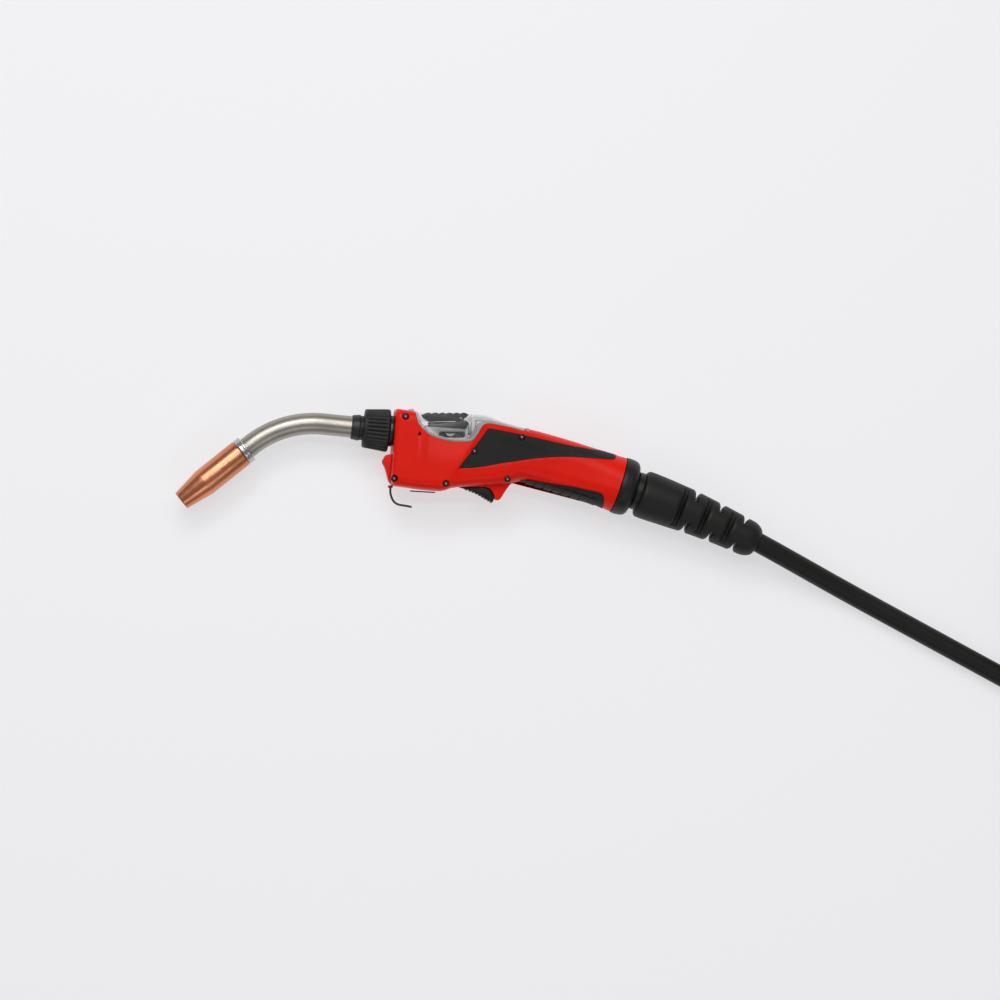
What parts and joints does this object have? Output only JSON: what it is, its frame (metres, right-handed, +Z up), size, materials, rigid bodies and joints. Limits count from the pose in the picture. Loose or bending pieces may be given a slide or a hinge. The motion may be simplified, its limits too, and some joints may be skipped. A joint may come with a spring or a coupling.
{
  "type": "mig welding torch",
  "caption": "MIG welding torch on its side: bent neck with tapered gas nozzle, red handle with clear drive cover, trigger and grip, bend relief, coiled hosepack with plug.",
  "frame": {"origin": "on the bench, under the middle of the torch without its hosepack, in plan", "axes": "+X from the nozzle towards the hosepack, +Y away from the trigger side, +Z up from the bench"},
  "size_m": [1.1192, 0.3815, 0.06],
  "materials": {
    "red_plastic": "bright red moulded nylon, semi-gloss",
    "dark_red_plastic": "dark red moulded plastic",
    "grip_rubber": "matt black soft-touch rubber",
    "screw_steel": "blackened screw heads",
    "bright_steel": "plain zinc-plated steel",
    "cast_aluminium": "fine cast aluminium",
    "dark_metal": "dark anodised metal",
    "black_plastic": "black moulded plastic",
    "nut_plastic": "black glass-filled plastic, ribbed",
    "sleeve_plastic": "black plastic ring",
    "clear_plastic": "clear polycarbonate",
    "satin_tube": "satin nickel-plated tube",
    "liner_steel": "coiled steel wire liner",
    "ring_steel": "turned bright ring",
    "insulator": "brown fibre insulator",
    "brass": "turned brass",
    "copper": "turned copper, lightly polished",
    "relief_rubber": "black rubber, slotted",
    "hose_rubber": "black rubber hosepack sheath"
  },
  "bodies": {
    "handle": {"left_shell": "red_plastic", "right_shell": "red_plastic", "left_grip_panel": "grip_rubber", "right_grip_panel": "grip_rubber", "lower_grip": "grip_rubber", "shell_screw_1": "screw_steel", "shell_screw_2": "screw_steel", "shell_screw_3": "screw_steel", "shell_screw_4": "screw_steel", "shell_screw_5": "screw_steel", "shell_screw_6": "screw_steel", "cover_hinge_pin": "bright_steel", "drive_block": "cast_aluminium", "lever_bracket": "bright_steel", "lever_pin": "bright_steel", "arm_pin": "bright_steel", "drive_motor": "dark_metal", "gearbox": "dark_metal", "trigger_pin": "bright_steel", "micro_switch": "black_plastic", "trigger_spring": "bright_steel", "lamp_boss": "red_plastic", "lamp_lens": "black_plastic", "base_plate": "dark_metal", "hook_bush": "dark_red_plastic", "neck_socket": "dark_metal", "rear_collar": "black_plastic"},
    "cover": {"clear_cover": "clear_plastic"},
    "lever": {"tension_lever": "black_plastic"},
    "arm": {"pressure_arm": "cast_aluminium", "pressure_axle": "bright_steel"},
    "pressure_wheel": {"pressure_roll": "bright_steel"},
    "drive_wheel": {"drive_roll": "bright_steel", "drive_axle": "bright_steel"},
    "trigger": {"trigger": "black_plastic"},
    "hook": {"hanger_hook": "dark_metal"},
    "nut": {"union_nut": "nut_plastic"},
    "neck": {"gooseneck": "satin_tube", "neck_sleeve": "sleeve_plastic", "wire_liner": "liner_steel", "nozzle_ring": "ring_steel", "nozzle_insulator": "insulator", "tip_holder": "brass", "contact_tip": "copper"},
    "nozzle": {"gas_nozzle": "copper"},
    "hose": {"swivel_ball": "black_plastic", "bend_relief": "relief_rubber", "hose_run": "hose_rubber", "hose_coil": "hose_rubber", "hose_tail": "hose_rubber", "plug_boot": "relief_rubber", "plug_body": "black_plastic", "plug_barrel": "brass", "contact_pin_1": "brass", "contact_pin_2": "brass"},
    "coupling": {"coupling_ring": "dark_metal"}
  },
  "joints": [
    {"name": "trigger_pull", "type": "hinge", "parent": "handle", "child": "trigger", "pos_m": [-0.0055, -0.0034, 0.03], "axis": [0, 0, 1], "range_deg": [0, 6], "stiffness_Nm_per_rad": 0.25, "springref_deg": -20.05, "deforming": ["trigger_spring"]},
    {"name": "cover_open", "type": "hinge", "parent": "handle", "child": "cover", "pos_m": [0.0565, 0.0507, 0.03], "axis": [0, 0, -1], "range_deg": [0, 100]},
    {"name": "lever_release", "type": "hinge", "parent": "handle", "child": "lever", "pos_m": [-0.01, 0.0632, 0.03], "axis": [0, 0, -1], "range_deg": [0, 45]},
    {"name": "arm_lift", "type": "hinge", "parent": "handle", "child": "arm", "pos_m": [-0.007, 0.056, 0.03], "axis": [0, 0, -1], "range_deg": [0, 11.25]},
    {"name": "drive_roll_spin", "type": "hinge", "parent": "handle", "child": "drive_wheel", "pos_m": [-0.02, 0.0381, 0.03], "axis": [0, 0, 1], "continuous": true},
    {"name": "pressure_roll_spin", "type": "hinge", "parent": "arm", "child": "pressure_wheel", "pos_m": [-0.02, 0.0511, 0.03], "axis": [0, 0, 1], "continuous": true},
    {"name": "hook_swivel", "type": "hinge", "parent": "handle", "child": "hook", "pos_m": [-0.0798, -0.006, 0.03], "axis": [0, 1, 0], "range_deg": [-90, 90]},
    {"name": "nut_turn", "type": "hinge", "parent": "handle", "child": "nut", "pos_m": [-0.1067, 0.0531, 0.03], "axis": [0.9949, -0.1011, 0], "continuous": true},
    {"name": "neck_turn", "type": "hinge", "parent": "handle", "child": "neck", "pos_m": [-0.1067, 0.0531, 0.03], "axis": [0.9949, -0.1011, 0], "range_deg": [0, 180]},
    {"name": "nozzle_pull", "type": "slide", "parent": "neck", "child": "nozzle", "axis": [-0.7804, -0.6252, 0], "range_m": [0, 0.075]},
    {"name": "hose_swivel", "type": "hinge", "parent": "handle", "child": "hose", "pos_m": [0.15662, -0.00575, 0.03], "axis": [0, 0, 1], "range_deg": [-12, 12]},
    {"name": "coupling_turn", "type": "hinge", "parent": "hose", "child": "coupling", "pos_m": [0.61473, 0.08925, 0.0202], "axis": [-0.766, 0.6428, 0], "continuous": true}
  ],
  "couplings": [
    {"joint": "arm_lift", "follows": "lever_release", "ratio": 0.25},
    {"joint": "pressure_roll_spin", "follows": "drive_roll_spin", "ratio": -1}
  ]
}
